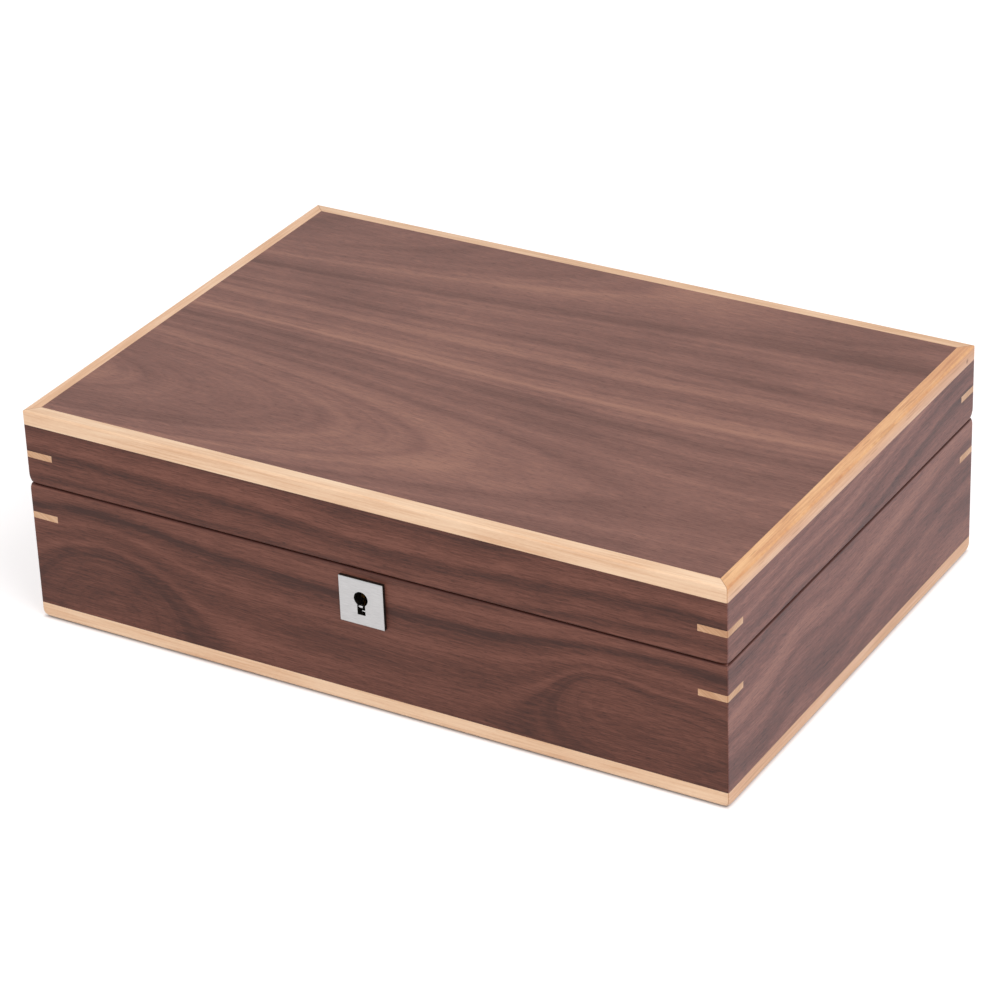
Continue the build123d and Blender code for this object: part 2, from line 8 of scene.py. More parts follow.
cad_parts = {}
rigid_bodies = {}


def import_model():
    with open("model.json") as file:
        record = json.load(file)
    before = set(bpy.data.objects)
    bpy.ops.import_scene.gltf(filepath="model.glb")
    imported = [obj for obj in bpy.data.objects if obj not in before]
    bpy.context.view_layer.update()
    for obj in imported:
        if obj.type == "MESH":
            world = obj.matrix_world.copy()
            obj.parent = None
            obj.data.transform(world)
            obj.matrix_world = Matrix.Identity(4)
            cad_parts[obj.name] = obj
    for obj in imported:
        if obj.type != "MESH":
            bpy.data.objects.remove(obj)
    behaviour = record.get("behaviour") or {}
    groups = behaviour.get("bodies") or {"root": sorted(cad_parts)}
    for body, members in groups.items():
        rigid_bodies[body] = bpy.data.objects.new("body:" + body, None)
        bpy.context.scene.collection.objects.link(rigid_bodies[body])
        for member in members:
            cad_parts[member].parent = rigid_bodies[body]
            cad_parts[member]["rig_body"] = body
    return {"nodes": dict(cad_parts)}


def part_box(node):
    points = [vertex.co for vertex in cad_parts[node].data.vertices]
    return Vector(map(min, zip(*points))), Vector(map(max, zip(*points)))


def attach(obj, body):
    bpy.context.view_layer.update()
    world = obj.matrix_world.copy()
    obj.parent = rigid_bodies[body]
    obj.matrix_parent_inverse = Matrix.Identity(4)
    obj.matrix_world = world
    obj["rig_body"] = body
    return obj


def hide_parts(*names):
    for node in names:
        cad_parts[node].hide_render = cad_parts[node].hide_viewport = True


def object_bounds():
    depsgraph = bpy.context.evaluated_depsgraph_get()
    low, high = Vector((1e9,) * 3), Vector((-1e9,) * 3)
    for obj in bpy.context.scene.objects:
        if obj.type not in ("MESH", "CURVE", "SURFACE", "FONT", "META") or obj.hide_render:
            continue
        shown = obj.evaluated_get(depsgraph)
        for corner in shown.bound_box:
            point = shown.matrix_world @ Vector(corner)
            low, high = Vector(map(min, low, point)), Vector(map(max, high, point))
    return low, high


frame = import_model()
cad_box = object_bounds()

# Viewpoint. The box stands on a white table and is photographed from above the right end of
# its front with a long lens, so that its edges run nearly parallel. Its straight edges give
# the camera's place, turn and lens, and small crops of it a last shift of 0.35 mm sideways.
camera = bpy.data.objects.new("camera", bpy.data.cameras.new("camera"))
bpy.context.scene.collection.objects.link(camera)
bpy.context.scene.camera = camera
camera.data.sensor_width = 36
camera.data.lens = 138.1
azimuth, elevation, roll = (math.radians(angle) for angle in (31.134, 28.761, -2.221))
towards = Vector((math.sin(azimuth), -math.cos(azimuth), 0)) * math.cos(elevation)
towards.z = math.sin(elevation)
rightwards = Vector((math.cos(azimuth), math.sin(azimuth), 0))
turned = Matrix((rightwards, towards.cross(rightwards), towards)).transposed()
turned = turned @ Matrix.Rotation(roll, 3, "Z")
stand = Vector((0.741037, -1.232235, 0.830413))
camera.matrix_world = Matrix.Translation(stand) @ turned.to_4x4()

# Walls of the base and the lid. Fibreboard, mitred at the corners and veneered in American black
# walnut with the grain level, sanded and sprayed with a satin lacquer. One sheet of veneer goes
# round base and lid, and they are sawn apart afterwards, so the figure runs on across the seam.
half_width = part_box("base_right_wall")[1].x
half_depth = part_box("base_back_wall")[1].y
seam = (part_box("base_front_wall")[1].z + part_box("lid_front_wall")[0].z) / 2


def linear(colour):
    """The linear colour that an sRGB hex value stands for."""
    parts = [int(colour[n : n + 2], 16) / 255 for n in (0, 2, 4)]
    return [c / 12.92 if c <= 0.04045 else ((c + 0.055) / 1.055) ** 2.4 for c in parts] + [1]


def add(tree, kind, inputs=(), stops=(), **settings):
    """Adds a node with its settings, and gives each input a value or the socket that feeds it."""
    made = tree.nodes.new("ShaderNode" + kind)
    for name, value in settings.items():
        setattr(made, name, value)
    for key, value in dict(inputs).items():
        if isinstance(value, bpy.types.NodeSocket):
            tree.links.new(value, made.inputs[key])
        else:
            made.inputs[key].default_value = value
    if stops:
        ramp = made.color_ramp
        while len(ramp.elements) < len(stops):
            ramp.elements.new(1)
        for element, (place, colour) in zip(ramp.elements, stops):
            element.position = place
            element.color = linear(colour) if isinstance(colour, str) else (colour,) * 3 + (1,)
    return made


def new_finish(name):
    """A material with no nodes yet, and its node tree."""
    material = bpy.data.materials.new(name)
    material.use_nodes = True
    material.node_tree.nodes.clear()
    return material, material.node_tree


def on_sheet(tree, start, grain, rise):
    """Where a point lies on a sheet of veneer: a vector in mm, along the grain and across it."""
    place = add(tree, "TexCoord").outputs["Object"]
    place = add(tree, "VectorMath", {0: place, 1: start}, operation="SUBTRACT").outputs[0]
    spots = []
    for way in (grain, rise):
        inputs = {0: place, 1: [1000 * n for n in way]}
        spots.append(add(tree, "VectorMath", inputs, operation="DOT_PRODUCT").outputs["Value"])
    return add(tree, "CombineXYZ", {"X": spots[0], "Y": spots[1]}).outputs[0]


def grain_noise(tree, place, length, width, seed, detail=2.0, rough=0.5):
    """Noise about nought, from -1 to 1, whose spots are so many mm long and wide."""
    inputs = {0: place, "Location": (seed, seed / 3, seed), "Scale": (1 / length, 1 / width, 1)}
    moved = add(tree, "Mapping", inputs).outputs[0]
    inputs = {"Vector": moved, "Scale": 1, "Detail": detail, "Roughness": rough}
    return add(tree, "TexNoise", inputs, normalize=False).outputs[0]


def summed(tree, start, parts):
    """A tone: a starting value, and each part times its weight."""
    for socket, weight in parts:
        start = add(tree, "Math", {0: socket, 1: weight, 2: start}, operation="MULTIPLY_ADD").outputs[0]
    return start


def walnut(name, sheet, colours, bands, seed, hills=(), hearts=(), meet=(0, 0), lines=0.12, streaks=0.18):
    """Flat-sawn walnut veneer, open-pored, under a thin satin lacquer.

    The knife cuts through the tree's yearly rings, so each ring shows as a line that wanders.
    bands are rings: how far each lies out from the pith in mm, and how pale it is. hearts are the
    places nearest to the pith, where the rings show as nested arches: the arches' middle line, the
    depth to the pith, and how fast the knife leaves it. meet is the line where the rings round two
    hearts come together, and the growth from one pith to the other. hills are swellings that lift
    the rings, with their middle, their length and width, and their height. lines and streaks are
    how strongly the thin rings and the straight grain show.
    """
    material, tree = new_finish(name)
    place = on_sheet(tree, *sheet)
    # the rings wander by 1 mm over a hand's width, and by half a mm over a finger's
    for length, width, sway in ((110, 45, 1.2), (26, 9, 0.5)):
        drift = grain_noise(tree, place, length, width, seed + sway)
        aside = add(tree, "CombineXYZ", {"Y": drift}).outputs[0]
        inputs = {0: aside, 1: (0, sway, 0), 2: place}
        place = add(tree, "VectorMath", inputs, operation="MULTIPLY_ADD").outputs[0]
    across = add(tree, "SeparateXYZ", {0: place}).outputs["Y"]
    growth = across
    arches = []
    for middle, depth, taper, reach in hearts:
        inputs = {0: place, "Location": (depth, -middle, 0), "Scale": (taper, 1, 0)}
        spot = add(tree, "Mapping", inputs).outputs[0]
        radius = add(tree, "VectorMath", {0: spot}, operation="LENGTH").outputs["Value"]
        deep = add(tree, "SeparateXYZ", {0: spot}).outputs["X"]
        deep = add(tree, "Math", {0: deep, 1: 2}, operation="POWER").outputs[0]
        arches.append(summed(tree, radius, [(deep, -0.5 / reach)]))
    if arches:
        growth = arches[0]
    if len(arches) == 2:
        middle, pith_to_pith = meet
        blend = 28
        far = add(tree, "Math", {0: pith_to_pith, 1: arches[1]}, operation="SUBTRACT").outputs[0]
        inputs = {0: across, 1: middle - blend, 2: middle + blend}
        share = add(tree, "MapRange", inputs, interpolation_type="SMOOTHSTEP").outputs[0]
        growth = add(tree, "Mix", {0: share, 2: growth, 3: far}, data_type="FLOAT").outputs[0]
    for (along, up), (length, width), height in hills:
        at = (-along / length, -up / width, 0)
        inputs = {0: place, "Location": at, "Scale": (1 / length, 1 / width, 0)}
        spot = add(tree, "Mapping", inputs).outputs[0]
        far = add(tree, "VectorMath", {0: spot, 1: spot}, operation="DOT_PRODUCT").outputs["Value"]
        lift = add(tree, "Math", {0: math.exp(-1), 1: far}, operation="POWER").outputs[0]
        growth = summed(tree, growth, [(lift, -height)])
    first, last = bands[0][0], bands[-1][0]
    ring = add(tree, "MapRange", {0: growth, 1: first, 2: last}).outputs[0]
    stops = [((mm - first) / (last - first), pale) for mm, pale in bands]
    band = add(tree, "ValToRGB", {0: ring}, stops).outputs[0]
    # between those, each few years' wood differs a little, in lines 1 to 6 mm wide
    year = summed(tree, seed, [(growth, 0.19)])
    inputs = {"W": year, "Scale": 1, "Detail": 4, "Roughness": 0.65}
    years = add(tree, "TexNoise", inputs, noise_dimensions="1D", normalize=False).outputs[0]
    cloud = grain_noise(tree, place, 75, 22, seed + 3, 3)
    streak = grain_noise(tree, place, 24, 1.3, seed + 5, 3, 0.6)
    # fibres and pores are 0.1 to 0.2 mm wide, and are drawn 0.4 mm wide, so that they show
    fibre = grain_noise(tree, place, 8, 0.42, seed + 7, 2, 0.7)
    dash = grain_noise(tree, place, 3.2, 0.36, seed + 9, 1)
    pore = add(tree, "MapRange", {0: dash, 1: 0.22, 2: 0.46}).outputs[0]
    parts = [(band, 0.8), (years, lines), (cloud, 0.16), (streak, streaks), (fibre, 0.24), (pore, -0.2)]
    tone = summed(tree, 0.11, parts)
    colour = add(tree, "ValToRGB", {0: tone}, tuple(zip((0.08, 0.5, 0.92), colours))).outputs[0]
    # at the seam a dark line is painted on the veneer's rounded rims: painted shade of the gap
    sheet_thick = 0.0007
    seam_shade_width = 0.0005
    place = add(tree, "TexCoord").outputs["Object"]
    place = add(tree, "VectorMath", {0: place, 1: (0, 0, seam)}, operation="SUBTRACT").outputs[0]
    place = add(tree, "VectorMath", {0: place}, operation="ABSOLUTE").outputs[0]
    inner = (half_width - sheet_thick, half_depth - sheet_thick, 0)
    place = add(tree, "VectorMath", {0: place, 1: inner}, operation="SUBTRACT").outputs[0]
    outer = add(tree, "SeparateXYZ", {0: place}).outputs
    edge = add(tree, "Math", {0: outer["X"], 1: outer["Y"]}, operation="MAXIMUM").outputs[0]
    edge = add(tree, "Math", {0: edge, 1: 0}, operation="GREATER_THAN").outputs[0]
    line = add(tree, "MapRange", {0: outer["Z"], 1: 2 * seam_shade_width, 2: seam_shade_width}).outputs[0]
    line = add(tree, "Math", {0: edge, 1: line}, operation="MULTIPLY").outputs[0]
    inputs = {0: line, 6: colour, 7: linear("42190F")}
    colour = add(tree, "Mix", inputs, data_type="RGBA").outputs[2]
    # open pores are hollows, and the fibres stand up a little under the lacquer
    gloss = summed(tree, 0.46, [(fibre, 0.07)])
    height = summed(tree, 0.5, [(pore, -0.5), (fibre, 0.2)])
    bump = add(tree, "Bump", {"Strength": 0.25, "Distance": 0.0001, "Height": height}).outputs[0]
    inputs = {"Base Color": colour, "Roughness": gloss, "Normal": bump, "Specular IOR Level": 0.25}
    shader = add(tree, "BsdfPrincipled", inputs).outputs[0]
    add(tree, "OutputMaterial", {"Surface": shader})
    return material


def finished(name, shape, materials, nodes, crease=35):
    """Makes a piece of a bmesh, in the body and in the stead of its CAD nodes."""
    for face in shape.faces:
        face.smooth = True
    for edge in shape.edges:
        edge.smooth = len(edge.link_faces) == 2 and edge.calc_face_angle(0) < math.radians(crease)
    mesh = bpy.data.meshes.new(name)
    shape.to_mesh(mesh)
    shape.free()
    for material in materials:
        mesh.materials.append(material)
    piece = bpy.data.objects.new(name, mesh)
    bpy.context.scene.collection.objects.link(piece)
    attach(piece, frame["nodes"][nodes[0]]["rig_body"])
    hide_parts(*nodes)
    return piece


def merged(node):
    """A CAD node's shape with its facets joined, so that flats are single faces."""
    shape = bmesh.new()
    shape.from_mesh(frame["nodes"][node].data)
    bmesh.ops.remove_doubles(shape, verts=shape.verts, dist=2e-6)
    flat = math.radians(0.6)
    bmesh.ops.dissolve_limit(shape, verts=shape.verts, edges=shape.edges, angle_limit=flat)
    return shape


def smoothed(material, *nodes, shape=None, inner=None):
    """Puts smooth-shaded copies in the stead of CAD nodes, with an inner finish for marked faces."""
    for node in nodes:
        materials = [material, inner] if inner else [material]
        piece = finished(node + "_piece", shape or merged(node), materials, [node])
        flats = piece.modifiers.new("flat faces shade flat", "WEIGHTED_NORMAL")
        flats.keep_sharp = True


def ease_corners(shape, level, above, below, depth, reach=0.0045):
    """Sands the case's corners back at a level, fading out so far above, below and inward."""
    steps = 4
    cuts = [((0, 0, 1), level + above * n / steps) for n in range(1, steps + 1)]
    cuts += [((0, 0, 1), level - below * n / steps) for n in range(1, steps + 1)]
    for n in range(1, steps + 1):
        inward = reach * n / steps
        cuts += [((1, 0, 0), side * (half_width - inward)) for side in (-1, 1)]
        cuts += [((0, 1, 0), side * (half_depth - inward)) for side in (-1, 1)]
    for way, place in cuts:
        whole = shape.verts[:] + shape.edges[:] + shape.faces[:]
        bmesh.ops.bisect_plane(shape, geom=whole, dist=1e-6, plane_co=Vector(way) * place, plane_no=way)
    for vert in shape.verts:
        x, y, z = vert.co
        near = 1 - (half_width - abs(x) + half_depth - abs(y)) / reach
        share = 1 - (z - level) / above if z > level else 1 - (level - z) / below
        if near > 0 and share > 0:
            vert.co.x -= math.copysign(depth * (near * share) ** 2, x)
            vert.co.y -= math.copysign(depth * (near * share) ** 2, y)


# The rings, hearts and hills of the front and right sheets are the output of fitting scripts,
# which averaged the photograph's tones along each ring. It is thinned, scaled and rounded. The
# left and back sheets aren't in the photograph, and their figure is made up.
veneers = {
    "front": walnut(
        "walnut_veneer_front",
        ((0, -half_depth, 0), (1, 0, 0), (0, 1, 1)),
        # the front sheet's colours are darker and redder than the top's: partly its own tone, partly a
        # painted shade for the face turned from the lamps
        ("3C2019", "5E372C", "7A4D40"),
        ((38, 0.6), (43, 0.57), (48, 0.48), (52, 0.43), (54.5, 0.33), (57, 0.25), (59.2, 0.27), (60.3, 0.45),
         (65, 0.52), (71.5, 0.62), (73.3, 0.53), (76, 0.4), (77.6, 0.2), (78.5, 0.1), (79.6, 0.25),
         (80.5, 0.5), (81.5, 0.7), (82.5, 0.77), (86.5, 0.61), (88.4, 0.28), (89.6, 0.28), (91, 0.5),
         (93, 0.63), (95.5, 0.52), (98, 0.2), (99, 0.36), (100.3, 0.68), (102.5, 0.83), (105, 0.66),
         (107.5, 0.5), (109.5, 0.33)),
        2,
        hearts=((3.5, 60, 0, 1e6),),
        hills=(
            ((-129, 17.5), (35, 33.5), 20), ((136, 27.5), (48, 17.5), 19.5), ((144, 46), (53, 45), 3.5),
            ((109, 39), (18.5, 12.5), 11.5), ((24, 75), (78, 26.5), -3.5),
        ),
    ),
    "right": walnut(
        "walnut_veneer_right",
        ((half_width, 0, 0), (0, 1, 0), (-1, 0, 1)),
        ("432D2E", "77504B", "9B6F64"),
        ((65.5, 0.55), (66.5, 0.6), (67.5, 0.44), (71.5, 0.46), (73.5, 0.32), (75.5, 0.42), (77.5, 0.44),
         (79.5, 0.58), (81.7, 0.47), (83.5, 0.65), (84.5, 0.7), (85.7, 0.64), (87.5, 0.73), (89.5, 0.57),
         (93, 0.5), (95.5, 0.48), (97.5, 0.36), (99, 0.26), (100.5, 0.2), (101.5, 0.3), (102.5, 0.5),
         (106.5, 0.46), (108.5, 0.29), (109.7, 0.38), (111.3, 0.56), (113.5, 0.41), (115.4, 0.75),
         (116.5, 0.8), (118.5, 0.57), (120.5, 0.66), (122, 0.56), (123.5, 0.41)),
        11,
        hearts=((-12.7, 69, 0, 1e6),),
        hills=(((-53, 50), (22, 29), 5.5), ((107, 67.5), (81, 66.5), 15.5), ((1, 40), (59, 35.5), 3.5)),
        streaks=0.12,
    ),
    "left": walnut(
        "walnut_veneer_left",
        ((-half_width, 0, 0), (0, 1, 0), (1, 0, 1)),
        ("4C312A", "6C473E", "886052"),
        ((0, 0.5), (20, 0.3), (26, 0.6), (34, 0.52), (45, 0.36), (50, 0.66), (58, 0.5), (70, 0.4), (74, 0.62),
         (88, 0.44), (100, 0.6)),
        23, hills=(((30, 26), (40, 30), 22), ((-80, 70), (50, 26), -12)),
    ),
    "back": walnut(
        "walnut_veneer_back",
        ((0, half_depth, 0), (1, 0, 0), (0, -1, 1)),
        ("452B24", "65423A", "83594B"),
        ((0, 0.4), (16, 0.3), (20, 0.6), (33, 0.54), (42, 0.3), (45, 0.62), (56, 0.5), (72, 0.36), (76, 0.66),
         (88, 0.46), (100, 0.55)),
        37, hills=(((60, 28), (70, 34), 30), ((-110, 60), (60, 30), -14)),
    ),
}
# the fibreboard is coloured near black, a painted shade for the keyhole and the cuts for lock and
# hinges, and where it is cut it is matt and fluffy, in tufts of 0.7 mm
painted_shade_core, tree = new_finish("fibreboard_core_painted_shade")
place = add(tree, "TexCoord").outputs["Object"]
inputs = {"Vector": place, "Scale": 1500, "Detail": 3}
fluff = add(tree, "TexNoise", inputs, normalize=False).outputs[0]
tone = summed(tree, 0.5, [(fluff, 0.4)])
colour = add(tree, "ValToRGB", {0: tone}, ((0.2, "0E0A09"), (0.8, "241B17"))).outputs[0]
bump = add(tree, "Bump", {"Strength": 0.4, "Distance": 0.0002, "Height": fluff}).outputs[0]
inputs = {"Base Color": colour, "Roughness": 0.9, "Normal": bump, "Specular IOR Level": 0.2}
add(tree, "OutputMaterial", {"Surface": add(tree, "BsdfPrincipled", inputs).outputs[0]})
face_depth = 0.0004
mitre = 0.014
sawn_flat = 0.0003
for side, veneer in veneers.items():
    for level in ("base", "lid"):
        wall = f"{level}_{side}_wall"
        shape = merged(wall)
        ease_corners(shape, seam, above=0.0045, below=0.003, depth=0.0009)
        for face in shape.faces:
            x, y, z = face.calc_center_median()
            behind = half_depth - abs(y) > face_depth and abs(x) < half_width - mitre
            sawn_edge = abs(face.normal.z) > 0.9 and abs(z - seam) < sawn_flat
            if side in ("front", "back") and behind and not sawn_edge:
                face.material_index = 1
        smoothed(veneer, wall, shape=shape, inner=painted_shade_core)

# Lippings. Solid hard maple strips round the bottom and the top of the case, mitred, glued into
# a rebate, sanded flush and eased along the edge. The lid's right one is cut from the border of
# the heartwood, so that it is honey brown on top and fades to pale down its side.


def maple(name, grain, rise, colours, seed, honey=None):
    """Hard maple under the same lacquer: close even grain, faint streaks and short flecks."""
    material, tree = new_finish(name)
    place = on_sheet(tree, (0, 0, 0), grain, rise)
    cloud = grain_noise(tree, place, 55, 9, seed, 2)
    streak = grain_noise(tree, place, 34, 0.9, seed + 4, 3)
    fleck = grain_noise(tree, place, 2.4, 0.4, seed + 8, 1)
    tone = summed(tree, 0.5, [(cloud, 0.4), (streak, 0.34), (fleck, 0.14)])
    colour = add(tree, "ValToRGB", {0: tone}, tuple(zip((0.15, 0.5, 0.85), colours))).outputs[0]
    if honey:
        warm = add(tree, "ValToRGB", {0: tone}, tuple(zip((0.15, 0.5, 0.85), honey))).outputs[0]
        spot = add(tree, "TexCoord").outputs["Object"]
        height = add(tree, "SeparateXYZ", {0: spot}).outputs["Z"]
        border = summed(tree, height, [(cloud, 0.0006)])
        top = cad_box[1][2]
        honey_starts, honey_full = top - 0.0054, top - 0.0008
        share = add(tree, "MapRange", {0: border, 1: honey_starts, 2: honey_full}).outputs[0]
        colour = add(tree, "Mix", {0: share, 6: colour, 7: warm}, data_type="RGBA").outputs[2]
        # thin brown mineral streaks
        mineral = grain_noise(tree, place, 20, 1.2, seed + 12, 2)
        mineral = add(tree, "MapRange", {0: mineral, 1: 0.34, 2: 0.56, 4: 0.4}).outputs[0]
        inputs = {0: mineral, 6: colour, 7: linear("A86A40")}
        colour = add(tree, "Mix", inputs, data_type="RGBA").outputs[2]
        # one dark pin knot on the side, near the back corner
        knot_place = (half_width, half_depth - 0.008, top - 0.0043)
        knot_radius, knot_core = 0.0014, 0.0003
        inputs = {0: spot, 1: knot_place}
        knot = add(tree, "VectorMath", inputs, operation="DISTANCE").outputs["Value"]
        knot = add(tree, "MapRange", {0: knot, 1: knot_radius, 2: knot_core}).outputs[0]
        inputs = {0: knot, 6: colour, 7: linear("8F5B42")}
        colour = add(tree, "Mix", inputs, data_type="RGBA").outputs[2]
    # the glue line of the mitres, 0.1 mm wide, is drawn 0.3 mm wide, so 0.44 mm along an edge
    glue_along_edge = 0.00044
    place = add(tree, "TexCoord").outputs["Object"]
    place = add(tree, "VectorMath", {0: place}, operation="ABSOLUTE").outputs[0]
    out = add(tree, "SeparateXYZ", {0: place}).outputs
    off = add(tree, "Math", {0: out["X"], 1: out["Y"]}, operation="SUBTRACT").outputs[0]
    inputs = {0: off, 1: half_width - half_depth, 2: glue_along_edge / 2}
    glue = add(tree, "Math", inputs, operation="COMPARE").outputs[0]
    glue = add(tree, "Math", {0: glue, 1: 0.6}, operation="MULTIPLY").outputs[0]
    inputs = {0: glue, 6: colour, 7: linear("96613A")}
    colour = add(tree, "Mix", inputs, data_type="RGBA").outputs[2]
    gloss = summed(tree, 0.4, [(fleck, 0.06)])
    bump = add(tree, "Bump", {"Strength": 0.12, "Distance": 0.00005, "Height": fleck}).outputs[0]
    inputs = {"Base Color": colour, "Roughness": gloss, "Normal": bump, "IOR": 1.5}
    shader = add(tree, "BsdfPrincipled", inputs).outputs[0]
    add(tree, "OutputMaterial", {"Surface": shader})
    return material


# the front strips' paler colours are partly the maple's own and partly a painted light, and the back strips'
# darker ones partly a painted shade
strips = {
    "front": maple("maple_front_strips", (1, 0, 0), (0, 1, 1), ("D9AD88", "E6C09D", "EFCEAD"), 3),
    "back": maple("maple_back_strips", (1, 0, 0), (0, 1, 1), ("CDA07A", "DBB08B", "E6C09E"), 5),
    "left": maple("maple_left_strips", (0, 1, 0), (1, 0, 1), ("D2A37C", "E1B28C", "EBC4A2"), 9),
    "right": maple("maple_right_strips", (0, 1, 0), (1, 0, 1), ("CB9C76", "DAAB86", "E4BC9A"), 13),
}
maple_honey = maple(
    "maple_honey_strip",
    (0, 1, 0),
    (1, 0, 1),
    ("CB9D7C", "D8A98A", "E2BB9C"),
    19,
    honey=("C08359", "D79F6E", "E6B481"),
)
for side, wood in strips.items():
    lipping = f"base_{side}_lipping"
    shape = merged(lipping)
    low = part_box(lipping)[0].z
    ease_corners(shape, low, above=0.0036, below=0.001, depth=0.0011)
    smoothed(wood, lipping, shape=shape)
    smoothed(maple_honey if side == "right" else wood, f"lid_{side}_lipping")

# Corner keys. Thin slips of maple glued into saw cuts across each mitre, which hold it together,
# and sanded flush, so that each shows as a short bar on both faces.
maple_keys = maple("maple_keys", (0.7, 0.7, 0), (0.7, -0.7, 1), ("B4845F", "C69973", "D4AC89"), 15)
smoothed(maple_keys, "base_corner_keys", "lid_corner_keys")

# Top and bottom panels. Veneered boards, glued in behind the lippings. The top has one wide
# sheet of walnut with a heart in its front part and one at the back, and straight grain
# between them. Its rings and hearts come from a fitting script too.
top_veneer = walnut(
    "walnut_veneer_top", ((0, 0, cad_box[1][2]), (1, 0, 0), (0, 1, 0)), ("5B382F", "7C5349", "996C5B"),
    ((19, 0.54), (22.8, 0.66), (25, 0.5), (33, 0.36), (37, 0.38), (39, 0.48), (43.4, 0.6), (44.6, 0.5),
     (46.2, 0.8), (48.6, 0.58), (50, 0.68), (51.2, 0.44), (57, 0.34), (60, 0.26), (63.5, 0.46), (67.4, 0.3),
     (70, 0.56), (71.7, 0.36), (74.6, 1.0), (76.8, 0.6), (81.5, 0.7), (84, 0.42), (94, 0.7), (95.8, 0.4),
     (101, 0.28), (105, 0.52), (109.5, 0.52), (112, 0.3), (122, 0.46), (125.8, 0.84), (127.4, 0.5),
     (136.5, 0.36)),
    51,
    hearts=((-69.8, 64, 0.269, 104), (110.5, 79.5, 0.235, 126)),
    meet=(32, 183),
    lines=0.17,
    streaks=0.1,
)
smoothed(top_veneer, "lid_top_panel")
for slot in frame["nodes"]["base_bottom_panel"].material_slots:
    slot.material = top_veneer

# Felt. A sheet of dark brown wool felt glued under the base, cut a little smaller than it, so
# that the box stands softly and doesn't scratch the table.


def napped(name, colours, hair, sheen):
    """Cloth with a nap: short matted hairs that lie in soft clouds, from shade to tip."""
    material, tree = new_finish(name)
    place = add(tree, "TexCoord").outputs["Object"]
    inputs = {"Vector": place, "Scale": 1 / hair, "Detail": 3, "Roughness": 0.7}
    hairs = add(tree, "TexNoise", inputs, normalize=False).outputs[0]
    inputs = {"Vector": place, "Scale": 60, "Detail": 2, "Roughness": 0.5}
    clouds = add(tree, "TexNoise", inputs, normalize=False).outputs[0]
    tone = summed(tree, 0.5, [(hairs, 0.3), (clouds, 0.18)])
    colour = add(tree, "ValToRGB", {0: tone}, tuple(zip((0.2, 0.5, 0.8), colours))).outputs[0]
    bump = add(tree, "Bump", {"Strength": 0.5, "Distance": hair / 2, "Height": hairs}).outputs[0]
    inputs = {"Base Color": colour, "Roughness": 0.92, "Normal": bump}
    inputs |= {"Sheen Weight": sheen, "Sheen Roughness": 0.5, "Specular IOR Level": 0.2}
    shader = add(tree, "BsdfPrincipled", inputs).outputs[0]
    add(tree, "OutputMaterial", {"Surface": shader})
    return material


felt = merged("base_felt")
rim = felt.edges[:]
bmesh.ops.bevel(felt, geom=rim, offset=0.00018, affect="EDGES", segments=2, profile=0.5, material=-1)
wool = napped("wool_felt", ("33211E", "46302C", "5C443E"), 0.0006, 0.2)
felt = finished("felt_sheet", felt, [wool], ["base_felt"])
low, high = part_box("base_felt")

# Lock. A flush steel case let into the front wall, with a brass bolt that slides sideways into
# the link plate's loops under the lid, and a square cover plate of satin stainless steel.


def metal(name, colours, rough, grit=(0.3, 0.3, 0.3)):
    """Metal with a fine grain, so many mm long each way, in which its shine varies a little."""
    material, tree = new_finish(name)
    place = add(tree, "TexCoord").outputs["Object"]
    place = add(tree, "Mapping", {0: place, "Scale": [1000 / size for size in grit]}).outputs[0]
    inputs = {"Vector": place, "Scale": 1, "Detail": 2, "Roughness": 0.6}
    grain = add(tree, "TexNoise", inputs, normalize=False).outputs[0]
    tone = summed(tree, 0.5, [(grain, 0.5)])
    shade = add(tree, "ValToRGB", {0: tone}, tuple(zip((0.2, 0.8), colours))).outputs[0]
    gloss = summed(tree, rough, [(grain, 0.08)])
    bump = add(tree, "Bump", {"Strength": 0.2, "Distance": 0.00002, "Height": grain}).outputs[0]
    inputs = {"Base Color": shade, "Roughness": gloss, "Normal": bump, "Metallic": 1}
    shader = add(tree, "BsdfPrincipled", inputs).outputs[0]
    add(tree, "OutputMaterial", {"Surface": shader})
    return material


nickel = metal("nickel_plated_steel", ("B0ACA4", "C8C4BB"), 0.24)
brass = metal("pressed_brass", ("AE8A4C", "CCAB6A"), 0.3)
spring_steel = metal("blued_spring_steel", ("6E7076", "85878C"), 0.3)
satin_steel = metal("satin_stainless_steel", ("B4B4B4", "C2C2C2"), 0.36, (5, 0.3, 0.3))
painted_dark_edge = metal("steel_edge_painted_shade", ("38332F", "4A443F"), 0.5)
smoothed(nickel, "lock_back_plate", "lock_screws", "link_plate", "link_screws")
smoothed(brass, "lock_cap", "drill_pin", "lock_bolt")
smoothed(spring_steel, "bolt_spring")
plate = merged("escutcheon_plate")
# the plate's side faces and its keyhole's walls take a near-black steel: painted shade, and a painted
# reflection of the dark wood beside them
for face in plate.faces:
    face.material_index = int(abs(face.normal.y) < 0.3)
# two wards stand in from the sides of the keyhole's slot, so that only a grooved key goes in
ward_depth = -half_depth - 0.0008
ward_thick = 0.0012
plate_middle = sum(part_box("escutcheon_plate"), Vector()) / 2
for x, down, wide, tall in ((-0.0008, 0.0022, 0.0023, 0.0010), (0.0009, 0.0039, 0.0021, 0.0006)):
    place = Matrix.Translation((x, ward_depth, plate_middle.z - down))
    place = place @ Matrix.Diagonal((wide, ward_thick, tall, 1))
    ward = bmesh.ops.create_cube(plate, size=1, matrix=place)["verts"]
    rims = list({edge for vert in ward for edge in vert.link_edges})
    bmesh.ops.bevel(plate, geom=rims, offset=0.0002, affect="EDGES", segments=2, profile=0.5, material=-1)
smoothed(satin_steel, "escutcheon_plate", shape=plate, inner=painted_dark_edge)

